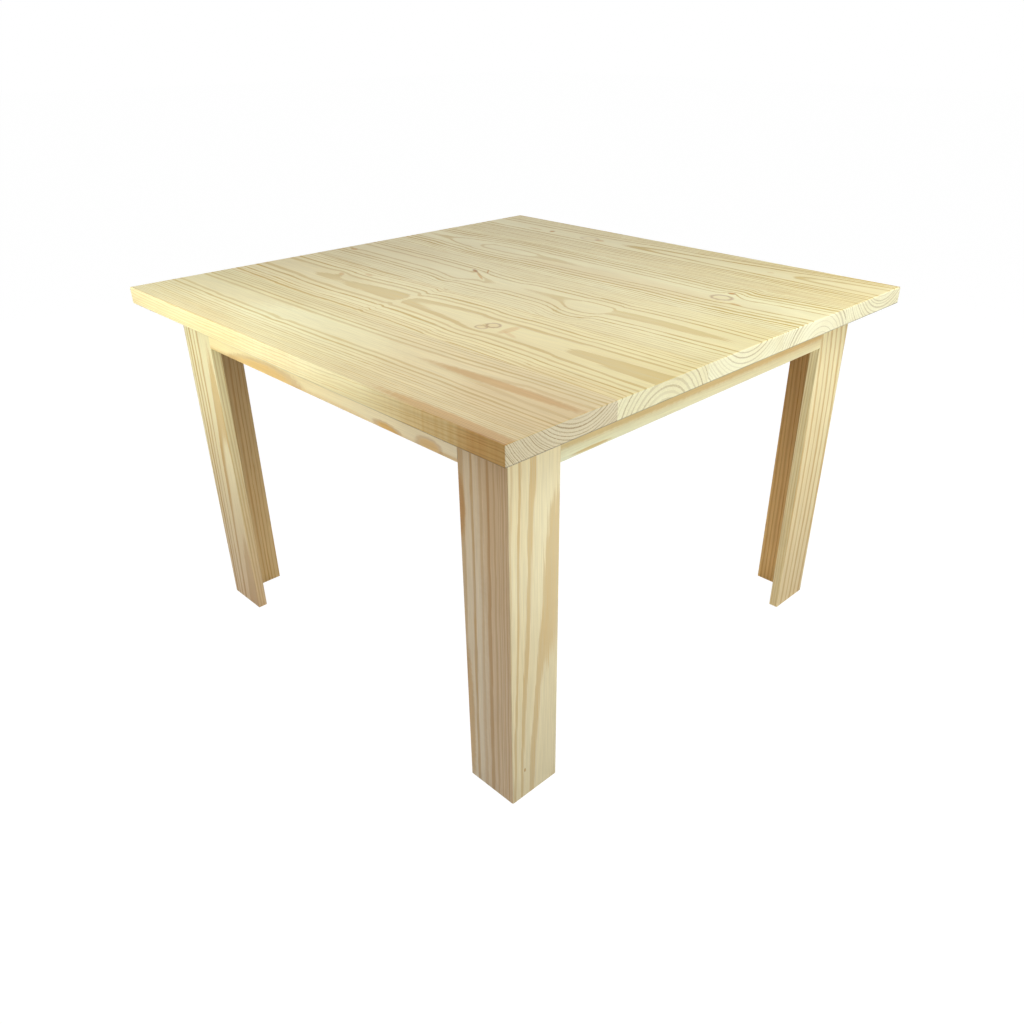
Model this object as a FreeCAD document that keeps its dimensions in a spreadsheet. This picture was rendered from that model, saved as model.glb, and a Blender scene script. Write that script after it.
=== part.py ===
import FreeCAD, Part
import math
import os
import re
import Sketcher

# A square dining table of planed pine. Wide boards glued edge to edge make the
# top. Each leg is an L of two boards mitred along the outer corner, and a flush
# apron runs between the legs. Out of sight under the top, a bolt through a
# diagonal brace pulls each leg against the ends of its two aprons.
# Millimetres. X runs along the boards of the top, Y across them and Z up. The
# origin is on the floor, below the middle of the top.

os.makedirs("parts", exist_ok=True)
doc = FreeCAD.newDocument("DiningTable")
Vector = FreeCAD.Vector
Rotation = FreeCAD.Rotation

# Driving sizes
SIZES = {
    # the whole table
    "top_length": 1100,
    "top_width": 1100,
    "table_height": 730,
    "top_thickness": 33,
    "top_board_count": 5,
    "top_edge_round": 2,
    "overhang": 65,
    # legs
    "leg_board_width": 108,
    "leg_board_thickness": 20,
    "leg_corner_round": 3,
    "arris_round": 0.8,
    # aprons
    "apron_height": 70,
    "apron_thickness": 20,
    # corner blocks, glued inside the legs
    "block_height": 60,
    "block_margin": 12,
    "block_tip": 12,
    # diagonal braces
    "brace_height": 60,
    "brace_thickness": 22,
    "brace_setback": 12,
    # recesses for the heads of the screws in a brace, and the wood below them
    "recess_diameter": 9,
    "recess_edge": 15,
    "recess_floor": 10,
    # hanger bolts, washers and wing nuts
    "bolt_diameter": 8,
    "bolt_wood_length": 40,
    "bolt_wood_tip": 8,
    "bolt_end_chamfer": 1,
    "bolt_protrusion": 4,
    "bolt_play": 0.75,
    "bolt_wood_gap": 0.1,
    "bolt_spare_depth": 1,
    "washer_diameter": 24,
    "washer_thickness": 1.6,
    "washer_play": 0.4,
    "nut_height": 9,
    "nut_base_diameter": 16,
    "nut_top_diameter": 13,
    "nut_thread_gap": 0.1,
    "wing_reach": 17,
    "wing_height": 16,
    "wing_tip_round": 6,
    "wing_foot": 1.5,
    "wing_thickness": 2.5,
    # cleats that hold the top
    "cleat_height": 20,
    "cleat_width": 20,
    "cleat_gap": 30,
}

sheet = doc.addObject("Spreadsheet::Sheet", "Sizes")
for row, (alias, value) in enumerate(SIZES.items(), start=1):
    sheet.set(f"A{row}", alias)
    sheet.set(f"B{row}", str(value))
    sheet.setAlias(f"B{row}", alias)
doc.recompute()

# Lengths worked out from the driving sizes, as expressions in their names
LEG_HEIGHT = "(table_height - top_thickness)"
HALF_FRAME_X = "(top_length / 2 - overhang)"
HALF_FRAME_Y = "(top_width / 2 - overhang)"
BOARD_WIDTH = "(top_width / top_board_count)"
BLOCK_LEG = "(leg_board_width - leg_board_thickness - block_margin)"
# Along both sides of a corner, from its outer faces to the middle of a diagonal face
BLOCK_REACH = f"(leg_board_thickness + ({BLOCK_LEG} + block_tip) / 2)"
BRACE_END = "(leg_board_width + brace_setback)"
BRACE_SLANT = "(brace_thickness * sqrt(2))"
BRACE_OUTER_REACH = f"(({BRACE_END} + apron_thickness) / 2)"
BRACE_INNER_REACH = f"({BRACE_OUTER_REACH} + brace_thickness / sqrt(2))"
BRACE_GAP = f"(({BRACE_OUTER_REACH} - {BLOCK_REACH}) * sqrt(2))"
RECESS_ALONG = f"({BRACE_END} + {BRACE_SLANT} / 2)"
RECESS_DROPS = ("recess_edge", "(brace_height - recess_edge)")
BOLT_DROP = "(brace_height / 2)"
CLEAT_END = f"({BRACE_END} + {BRACE_SLANT} + cleat_gap)"

# The four corners, anticlockwise from above. Each has the sign of its x and y,
# and the names of the boards whose outer faces lie on its own X and Y sides.
CORNERS = {
    "front_left": (-1, -1, "front", "side"),
    "front_right": (1, -1, "side", "front"),
    "back_right": (1, 1, "back", "side"),
    "back_left": (-1, 1, "side", "back"),
}

# The four sides, anticlockwise from above: half the frame's length along the
# side, and half its width across it
SIDES = {
    "front": (HALF_FRAME_X, HALF_FRAME_Y),
    "right": (HALF_FRAME_Y, HALF_FRAME_X),
    "back": (HALF_FRAME_X, HALF_FRAME_Y),
    "left": (HALF_FRAME_Y, HALF_FRAME_X),
}
QUARTER_TURN = 90
DIAGONAL_TURN = 45
ROUNDING = 1e-6

parts = {}


def bound(expression):
    """The expression with each size name pointing at its cell in the sheet."""
    def cell(word):
        return f"Sizes.{word[0]}" if word[0] in SIZES else word[0]
    return re.sub(r"[a-z_]+", cell, str(expression))


def number(expression):
    """What an expression in the size names comes to now."""
    return float(sheet.evalExpression(bound(expression)))


def bind(thing, target, expression):
    """Tie one property or constraint of an object to an expression."""
    thing.setExpression(target, bound(expression))


def new_body(name):
    """An empty body with its own label."""
    body = doc.addObject("PartDesign::Body", name)
    body.Label = name
    return body


def new_sketch(body, role, offset=(0, 0, 0), turn=0):
    """An empty sketch on one of the body's planes, moved and turned upright in it."""
    sketch = body.newObject("Sketcher::SketchObject", f"{body.Name}_sketch")
    plane = next(item for item in body.Origin.OriginFeatures if item.Role == role)
    sketch.AttachmentSupport = [(plane, "")]
    sketch.MapMode = "FlatFace"
    upright = Rotation(Vector(0, 1, 0), turn)
    sketch.AttachmentOffset = FreeCAD.Placement(Vector(), upright)
    for axis, distance in zip("xyz", offset):
        bind(sketch, f"AttachmentOffset.Base.{axis}", distance)
    return sketch


def hold(sketch, index, point, place):
    """Fix a point of a sketch at its two distances from the sketch's origin."""
    for kind, distance in zip(("DistanceX", "DistanceY"), place):
        constraint = Sketcher.Constraint(kind, -1, 1, index, point, number(distance))
        bind(sketch, f"Constraints[{sketch.addConstraint(constraint)}]", distance)


def hold_radius(sketch, index, radius):
    """Fix the radius of a circle or arc of a sketch."""
    constraint = Sketcher.Constraint("Radius", index, number(radius))
    bind(sketch, f"Constraints[{sketch.addConstraint(constraint)}]", radius)


def left_arc(start, end, radius):
    """The arc from start to end that turns left, under half a circle."""
    chord = end - start
    rise = math.sqrt(radius ** 2 - chord.Length ** 2 / 4)
    centre = (start + end) / 2 + Vector(-chord.y, chord.x, 0).normalize() * rise
    angles = [math.atan2(p.y - centre.y, p.x - centre.x) for p in (start, end)]
    return Part.ArcOfCircle(Part.Circle(centre, Vector(0, 0, 1), radius), *angles)


def outline(sketch, corners, arcs=None):
    """A closed outline that goes round its corners anticlockwise.

    arcs maps a corner's place in the list to the radius of the arc that leaves
    it. The other stretches are straight.
    """
    arcs = arcs or {}
    places = [Vector(number(x), number(y), 0) for x, y in corners]
    for index, (start, end) in enumerate(zip(places, places[1:] + places[:1])):
        if index in arcs:
            stretch = left_arc(start, end, number(arcs[index]))
        else:
            stretch = Part.LineSegment(start, end)
        sketch.addGeometry(stretch, False)
    for index, corner in enumerate(corners):
        following = (index + 1) % len(corners)
        sketch.addConstraint(Sketcher.Constraint("Coincident", index, 2, following, 1))
        hold(sketch, index, 1, corner)
        if index in arcs:
            hold_radius(sketch, index, arcs[index])


def rectangle(sketch, left, bottom, right, top):
    """A rectangle between two opposite corners."""
    outline(sketch, [(left, bottom), (right, bottom), (right, top), (left, top)])


def circles(sketch, centres, radius):
    """Equal circles at a list of centres."""
    for centre in centres:
        place = Vector(number(centre[0]), number(centre[1]), 0)
        circle = Part.Circle(place, Vector(0, 0, 1), number(radius))
        index = sketch.addGeometry(circle, False)
        hold(sketch, index, 3, centre)
        hold_radius(sketch, index, radius)


def pad(body, sketch, length, middle=False, reverse=False):
    """Thicken a sketch into a solid, on one side or from the middle."""
    feature = body.newObject("PartDesign::Pad", f"{body.Name}_pad")
    feature.Profile = sketch
    feature.Midplane = middle
    feature.Reversed = reverse
    bind(feature, "Length", length)
    doc.recompute()
    return feature


def pocket(body, sketch, depth=None, reverse=False):
    """Cut a sketch into the solid to a depth, or right through both ways."""
    before = body.Shape.Volume
    feature = body.newObject("PartDesign::Pocket", f"{body.Name}_pocket")
    feature.Profile = sketch
    if depth is None:
        feature.Type = "ThroughAll"
        feature.Midplane = True
    else:
        feature.Reversed = reverse
        bind(feature, "Length", depth)
    doc.recompute()
    if not body.Shape.Volume < before:
        raise ValueError(f"a pocket of {body.Name} cuts nothing")
    return feature


def revolve(body, corners):
    """Turn an outline of radius and height round the body's Z axis."""
    sketch = new_sketch(body, "XZ_Plane")
    outline(sketch, corners)
    feature = body.newObject("PartDesign::Revolution", f"{body.Name}_revolution")
    feature.Profile = sketch
    feature.ReferenceAxis = (sketch, ["V_Axis"])
    doc.recompute()
    return feature


def round_over(body, feature, radius, wanted):
    """Round the edges of the last feature that a test picks by their middle."""
    edges = enumerate(feature.Shape.Edges, start=1)
    names = [f"Edge{index}" for index, edge in edges if wanted(edge.CenterOfMass)]
    fillet = body.newObject("PartDesign::Fillet", f"{body.Name}_round")
    fillet.Base = (feature, names)
    bind(fillet, "Radius", radius)
    doc.recompute()
    return fillet


def same(first, second):
    """Whether two lengths are equal to within rounding."""
    return math.isclose(first, second, abs_tol=ROUNDING)


def place(thing, x, y, z, rotation=Rotation()):
    """Put an object at three expressions, turned, and keep it as a sub-part."""
    thing.Placement = FreeCAD.Placement(Vector(), rotation)
    for axis, distance in zip("xyz", (x, y, z)):
        bind(thing, f"Placement.Base.{axis}", distance)
    parts[thing.Label] = thing


def turned(names, name):
    """The turn about Z of one of the four corners or sides, a quarter each."""
    return Rotation(Vector(0, 0, 1), list(names).index(name) * QUARTER_TURN)


def place_at_corner(thing, corner):
    """Put an object at a corner of the frame, level with the top's underside.

    Its X and Y run along the two sides that meet there.
    """
    side_x, side_y = CORNERS[corner][:2]
    x = f"{side_x} * {HALF_FRAME_X}"
    y = f"{side_y} * {HALF_FRAME_Y}"
    place(thing, x, y, LEG_HEIGHT, turned(CORNERS, corner))


def place_at_side(thing, side):
    """Put an object on a side of the frame, X along it and Y inward."""
    outward = turned(SIDES, side).multVec(Vector(0, -1, 0))
    x = f"{round(outward.x)} * {HALF_FRAME_X}"
    y = f"{round(outward.y)} * {HALF_FRAME_Y}"
    place(thing, x, y, LEG_HEIGHT, turned(SIDES, side))


# Top boards

def top_board(index):
    """One board of the top, eased where it meets the outline of the table."""
    body = new_body(f"top_board_{index + 1}")
    middle = f"(({index} + 1 / 2) * {BOARD_WIDTH} - top_width / 2)"
    sketch = new_sketch(body, "XY_Plane")
    half = f"{BOARD_WIDTH} / 2"
    rectangle(sketch, "-top_length / 2", f"-{half}", "top_length / 2", half)
    board = pad(body, sketch, "top_thickness")
    half_length = number("top_length / 2")
    half_width = number(half)
    thickness = number("top_thickness")
    outer_side = {0: -half_width, number("top_board_count") - 1: half_width}.get(index)

    def on_outline(middle_of_edge):
        level = same(middle_of_edge.z, 0) or same(middle_of_edge.z, thickness)
        at_end = same(abs(middle_of_edge.x), half_length) and level
        return at_end or (outer_side is not None and same(middle_of_edge.y, outer_side))

    round_over(body, board, "top_edge_round", on_outline)
    place(body, 0, middle, LEG_HEIGHT)


# Legs

def leg_board(corner, along_x):
    """One board of an L-shaped leg, along its corner's X side or its Y side."""
    side_name = CORNERS[corner][2 if along_x else 3]
    body = new_body(f"leg_{corner}_{side_name}_board")
    arc_end = "leg_corner_round * (1 - 1 / sqrt(2))"
    corners = [
        ("leg_corner_round", 0),
        ("leg_board_width", 0),
        ("leg_board_width", "leg_board_thickness"),
        ("leg_board_thickness", "leg_board_thickness"),
        (arc_end, arc_end),
    ]
    arcs = {4: "leg_corner_round"}
    if not along_x:
        corners = [(y, x) for x, y in reversed(corners)]
    sketch = new_sketch(body, "XY_Plane")
    outline(sketch, corners, arcs)
    board = pad(body, sketch, LEG_HEIGHT, reverse=True)
    width = number("leg_board_width")
    floor = -number(LEG_HEIGHT)

    def on_free_edge(middle):
        along = middle.x if along_x else middle.y
        return same(along, width) and not same(middle.z, 0) and not same(middle.z, floor)

    round_over(body, board, "arris_round", on_free_edge)
    place_at_corner(body, corner)


# Aprons

def apron(side):
    """A board between two legs, its ends square against the edges of their boards."""
    body = new_body(f"apron_{side}")
    half_length = f"({SIDES[side][0]} - leg_board_width)"
    section = new_sketch(body, "YZ_Plane")
    rectangle(section, 0, "-apron_height", "apron_thickness", 0)
    board = pad(body, section, f"2 * {half_length}", middle=True)
    bottom = -number("apron_height")
    end = number(half_length)

    def along_bottom(middle):
        return same(middle.z, bottom) and not same(abs(middle.x), end)

    round_over(body, board, "arris_round", along_bottom)
    place_at_side(body, side)


# Cleats

def cleat(side):
    """The square batten inside an apron that holds the top down."""
    body = new_body(f"top_cleat_{side}")
    half_frame = SIDES[side][0]
    section = new_sketch(body, "YZ_Plane")
    rectangle(section, "apron_thickness", "-cleat_height", "apron_thickness + cleat_width", 0)
    pad(body, section, f"2 * ({half_frame} - {CLEAT_END})", middle=True)
    place_at_side(body, side)


# Corner blocks and braces

def diagonal_sketch(body, reach):
    """A sketch square to the corner's diagonal, facing the outer corner."""
    return new_sketch(body, "XZ_Plane", (reach, 0, f"-{reach}"), turn=-DIAGONAL_TURN)


def corner_block(corner):
    """The block glued inside a leg, with the blind hole for its hanger bolt."""
    body = new_body(f"corner_block_{corner}")
    near = "leg_board_thickness"
    far = f"leg_board_thickness + {BLOCK_LEG}"
    tip = "leg_board_thickness + block_tip"
    sketch = new_sketch(body, "XY_Plane")
    outline(sketch, [(near, near), (far, near), (far, tip), (tip, far), (near, far)])
    pad(body, sketch, "block_height", reverse=True)
    hole = diagonal_sketch(body, BLOCK_REACH)
    circles(hole, [(0, f"-{BOLT_DROP}")], "bolt_diameter / 2 + bolt_wood_gap")
    pocket(body, hole, "bolt_wood_length + bolt_spare_depth", reverse=True)
    place_at_corner(body, corner)


def corner_brace(corner):
    """The diagonal board between two aprons, bored for the hanger bolt.

    The screws into each apron sit in two recesses square to it.
    """
    body = new_body(f"corner_brace_{corner}")
    near = "apron_thickness"
    inner_end = f"{BRACE_END} + {BRACE_SLANT}"
    sketch = new_sketch(body, "XY_Plane")
    outline(sketch, [(BRACE_END, near), (inner_end, near), (near, inner_end), (near, BRACE_END)])
    pad(body, sketch, "brace_height", reverse=True)
    bolt_hole = diagonal_sketch(body, BRACE_INNER_REACH)
    circles(bolt_hole, [(0, f"-{BOLT_DROP}")], "bolt_diameter / 2 + bolt_play")
    pocket(body, bolt_hole)
    floor = "(apron_thickness + recess_floor)"
    centres = [(RECESS_ALONG, f"-{drop}") for drop in RECESS_DROPS]
    for plane, sign in (("XZ_Plane", -1), ("YZ_Plane", 1)):
        recesses = new_sketch(body, plane, (0, 0, f"{sign} * {floor}"))
        circles(recesses, centres, "recess_diameter / 2")
        pocket(body, recesses, BRACE_SLANT, reverse=sign > 0)
    place_at_corner(body, corner)


# Bolts, washers and nuts, each kind modelled once with Z along the bolt, from the
# inner face of a brace, and set at the four corners

def hanger_bolt():
    """A headless bolt: pointed in the corner block, chamfered past the nut."""
    body = new_body("hanger_bolt")
    radius = "bolt_diameter / 2"
    tip = f"-(brace_thickness + {BRACE_GAP} + bolt_wood_length)"
    end = "(washer_thickness + nut_height + bolt_protrusion)"
    revolve(body, [
        (0, tip),
        (radius, f"{tip} + bolt_wood_tip"),
        (radius, f"{end} - bolt_end_chamfer"),
        (f"{radius} - bolt_end_chamfer", end),
        (0, end),
    ])
    return body


def washer():
    """The flat washer between a brace and a wing nut."""
    body = new_body("washer")
    sketch = new_sketch(body, "XY_Plane")
    circles(sketch, [(0, 0)], "washer_diameter / 2")
    circles(sketch, [(0, 0)], "bolt_diameter / 2 + washer_play")
    pad(body, sketch, "washer_thickness")
    return body


def wing_nut():
    """A threaded boss with two upswept wings."""
    body = new_body("wing_nut")
    seat = "washer_thickness"
    bore = "bolt_diameter / 2 + nut_thread_gap"
    top = f"{seat} + nut_height"
    revolve(body, [
        (bore, seat),
        ("nut_base_diameter / 2", seat),
        ("nut_top_diameter / 2", top),
        (bore, top),
    ])
    root = f"(({bore} + nut_top_diameter / 2) / 2)"
    wing = new_sketch(body, "XZ_Plane")
    outline(wing, [
        (root, f"{seat} + wing_foot"),
        ("nut_base_diameter / 2", f"{seat} + wing_foot"),
        ("wing_reach", f"{seat} + wing_height - wing_tip_round"),
        ("wing_reach - wing_tip_round", f"{seat} + wing_height"),
        (root, f"{top} - wing_foot"),
    ], {2: "wing_tip_round"})
    first_wing = pad(body, wing, "wing_thickness", middle=True)
    wings = body.newObject("PartDesign::PolarPattern", f"{body.Name}_wings")
    wings.Originals = [first_wing]
    wings.Axis = (wing, ["V_Axis"])
    wings.Angle = 360
    wings.Occurrences = 2
    body.Tip = wings
    doc.recompute()
    return body


def bolted(name, model):
    """One sub-part of equal solids, one on the bolt's axis at each corner."""
    copies = []
    for side_x, side_y in (signs[:2] for signs in CORNERS.values()):
        x = side_x * number(f"{HALF_FRAME_X} - {BRACE_INNER_REACH}")
        y = side_y * number(f"{HALF_FRAME_Y} - {BRACE_INNER_REACH}")
        seat = Vector(x, y, number(f"{LEG_HEIGHT} - {BOLT_DROP}"))
        inward = Rotation(Vector(0, 0, 1), Vector(-side_x, -side_y, 0))
        copy = model.Shape.copy()
        copy.Placement = FreeCAD.Placement(seat, inward)
        copies.append(copy)
    feature = doc.addObject("Part::Feature", name)
    feature.Label = name
    feature.Shape = Part.makeCompound(copies)
    feature.Placement = FreeCAD.Placement()
    parts[name] = feature


# The table

for board_index in range(round(number("top_board_count"))):
    top_board(board_index)
for corner_name in CORNERS:
    leg_board(corner_name, True)
    leg_board(corner_name, False)
    corner_block(corner_name)
    corner_brace(corner_name)
for side_name in SIDES:
    apron(side_name)
    cleat(side_name)
bolted("hanger_bolts", hanger_bolt())
bolted("washers", washer())
bolted("wing_nuts", wing_nut())
doc.recompute()

for item in doc.Objects:
    if "Invalid" in item.State or "Error" in item.State:
        raise ValueError(f"{item.Name} failed: {item.State}")
for name, piece in parts.items():
    if piece.Shape.isNull() or not piece.Shape.isValid():
        raise ValueError(f"{name} has no valid shape")
for name, piece in parts.items():
    piece.Shape.exportStep(f"parts/{name}.step")
    print(name, len(piece.Shape.Solids), round(piece.Shape.Volume))
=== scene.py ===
"""A square dining table of planed and varnished pine, in a plain pale studio.

Every board has its own growth rings, cut from one log pattern and laid along its
own grain, so faces, edges and end grain belong together. Lengths are metres, but in
the figures of the boards they are millimetres.
"""
import functools
import math

import bpy
import numpy as np
from bpy.props import FloatProperty, FloatVectorProperty, PointerProperty
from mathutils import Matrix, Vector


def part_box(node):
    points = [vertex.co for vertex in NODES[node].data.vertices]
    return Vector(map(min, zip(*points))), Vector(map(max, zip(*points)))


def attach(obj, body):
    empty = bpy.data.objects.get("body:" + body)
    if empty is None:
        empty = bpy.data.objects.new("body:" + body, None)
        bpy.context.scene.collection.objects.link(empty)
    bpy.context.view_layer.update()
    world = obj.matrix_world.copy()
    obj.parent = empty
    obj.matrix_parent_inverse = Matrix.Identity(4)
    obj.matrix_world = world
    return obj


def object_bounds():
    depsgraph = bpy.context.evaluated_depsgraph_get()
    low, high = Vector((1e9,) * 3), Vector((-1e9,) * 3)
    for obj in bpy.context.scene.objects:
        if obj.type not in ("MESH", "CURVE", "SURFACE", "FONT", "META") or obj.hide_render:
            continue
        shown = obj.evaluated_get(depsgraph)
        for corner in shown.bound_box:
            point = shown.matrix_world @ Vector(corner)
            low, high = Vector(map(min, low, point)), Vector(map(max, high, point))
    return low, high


bl_info = {
    "name": "Pine Dining Table",
    "version": (1, 0, 0),
    "blender": (4, 5, 0),
    "location": "View3D > Sidebar > Table",
    "description": "Dresses a pine dining table and its studio",
    "category": "Object",
}

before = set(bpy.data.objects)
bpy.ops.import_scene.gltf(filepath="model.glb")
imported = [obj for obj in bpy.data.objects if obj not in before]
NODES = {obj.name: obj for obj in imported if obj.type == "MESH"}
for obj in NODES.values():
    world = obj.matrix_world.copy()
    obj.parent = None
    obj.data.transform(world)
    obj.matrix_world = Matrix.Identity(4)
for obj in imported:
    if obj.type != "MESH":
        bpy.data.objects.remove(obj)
CAD_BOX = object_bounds()
MM = 0.001

# The picture's side in pixels, and the camera's sensor in millimetres
PICTURE = 1024
SENSOR = 36.0


def linear(code):
    """The linear colour of an sRGB hex code."""
    values = (int(code[i:i + 2], 16) / 255 for i in (1, 3, 5))
    return tuple(v / 12.92 if v <= 0.04045 else ((v + 0.055) / 1.055) ** 2.4 for v in values)


# Colours, sizes and lights that a user would change

def colour(name, code, text):
    """A colour property whose default is an sRGB hex code."""
    return FloatVectorProperty(
        name=name, description=text, subtype="COLOR", size=3, min=0, max=1,
        default=linear(code))


def length(name, value, text):
    """A length property in metres."""
    return FloatProperty(name=name, description=text, default=value, unit="LENGTH")


class PineColours(bpy.types.PropertyGroup):
    """The wood's colours under plain light"""
    earlywood: colour("Earlywood", "#ECE0B6", "Pale spring growth under clear varnish")
    latewood: colour("Latewood", "#BF9234", "Dark summer growth under clear varnish")
    top_latewood: colour("Top latewood", "#BF9C2C", "Summer growth of the finer sanded top")
    end_early: colour("End earlywood", "#E1D8BC", "Spring growth on end grain")
    end_late: colour("End latewood", "#A5906A", "Summer growth on end grain")
    knot: colour("Knot", "#CC9A30", "The wood of a knot")
    knot_rim: colour("Knot rim", "#9A6224", "The bark ring and the heart of a knot")
    bare_early: colour("Bare earlywood", "#DCCB9F", "Spring growth of bare sawn pine")
    bare_late: colour("Bare latewood", "#B8935F", "Summer growth of bare sawn pine")


class ScrewSizes(bpy.types.PropertyGroup):
    """The sizes of a pan head with a cross recess"""
    head_diameter: length("Head diameter", 0.008, "Across a pan head")
    head_height: length("Head height", 0.0026, "From the seat to the crown")
    recess_width: length("Slot width", 0.0012, "Across one arm of the cross recess")
    recess_depth: length("Slot depth", 0.0014, "Depth of the cross recess")


class StudioSettings(bpy.types.PropertyGroup):
    """The camera, the floor and the room"""
    focal_pixels: FloatProperty(
        name="Focal length", description="In pixels of a picture 1024 wide", default=884.0)
    centre_x: FloatProperty(
        name="Centre X", description="The lens axis in a picture 1024 wide", default=533.85)
    centre_y: FloatProperty(
        name="Centre Y", description="The lens axis, down a picture 1024 high", default=540.21)
    camera: FloatVectorProperty(
        name="Camera", description="Where the camera stands", subtype="TRANSLATION",
        default=(1.29603, -1.24545, 1.18690))
    heading: FloatProperty(
        name="Heading", description="Turn of the camera from +Y", subtype="ANGLE",
        default=math.radians(44.95))
    pitch: FloatProperty(
        name="Pitch", description="How far the camera looks down", subtype="ANGLE",
        default=math.radians(30.26))
    floor_size: length("Floor size", 40.0, "Side of the square floor")
    world: FloatProperty(name="Room light", description="Strength of the room", default=0.02)


SETTINGS = {
    "pine": PineColours,
    "screws": ScrewSizes,
    "studio": StudioSettings,
}


# Places on the table, in millimetres: the ends and the faces of the top, the outer
# faces of the frame, and the edges of the legs' boards that the aprons meet
HALF_TOP = round(CAD_BOX[1][0] / MM)
TABLE_TOP = round(CAD_BOX[1][2] / MM)
UNDERSIDE = round(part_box("top_board_1")[0].z / MM)
FRAME = round(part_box("leg_front_right_side_board")[1].x / MM)
LEG_EDGE = round(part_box("apron_front")[1].x / MM)

# The figure of a board holds these:
# along, across, depth: turn table coordinates into the board's own, each by an axis, a
#   sign and an offset. depth is measured in from the face that shows most.
# turn: the board's angle about Z, which only the braces have.
# pith: the side of the face that the heart of the log is on, 1 out past the face and
#   -1 in behind it, and how far.
# path: where the heart runs across the board, against the way along the grain.
# rings: how many rings the face has cut into the log, against the same way.
# edges: how many more rings are cut for each millimetre of depth.
# growth: rings per millimetre near the heart, how much faster they come further out,
#   and with what power.
# summer: where in a ring the dark wood starts, first near the heart and then further
#   out, over how much of the ring it darkens, and where it starts to fade and ends.
# knots: place along and across, half length, half width, slant, darkness of the rim,
#   darkness of the wood, and how many rings it bends. Wood darker than 1 goes on
#   towards the colour of the rim. Without a rim it is a stain that the rings show
#   through, or a pale patch where the darkness is below 0.
# contrast: how strong the lines are.
# end: how the end grain's colour differs, and how strong its lines are. The colour is
#   partly painted shade: darker on the end grain of the front boards of the top.
# tint: how the wood's colour differs at the board's two ends, as a share of red, green
#   and blue. It is partly the wood's own change and partly painted light and shade:
#   lighter at the left ends of the top's boards, darker and browner towards the near
#   corner, and darker high on the inner faces of the legs, under the top.
# seed: chooses the board's own noise.

# What a board has unless its own figure says otherwise
PLAIN = {
    "turn": 0.0,
    "edges": 0.0,
    "summer": (0.45, 0.4, 0.2, 0.93, 1.0),
    "knots": (),
    "contrast": 1.0,
    "end": ((1, 1, 1), 1.0),
    "tint": ((1, 1, 1), (1, 1, 1)),
}


def top(middle):
    """The place of a board of the top: grain along X, seen from above."""
    return {"along": ("X", 1, 0), "across": ("Y", 1, -middle), "depth": ("Z", -1, TABLE_TOP)}


def upright(across, depth):
    """The place of a leg board: grain down from the underside, a ring every 5 mm in."""
    return {"along": ("Z", -1, UNDERSIDE), "across": across, "depth": depth, "edges": 0.2}


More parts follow.
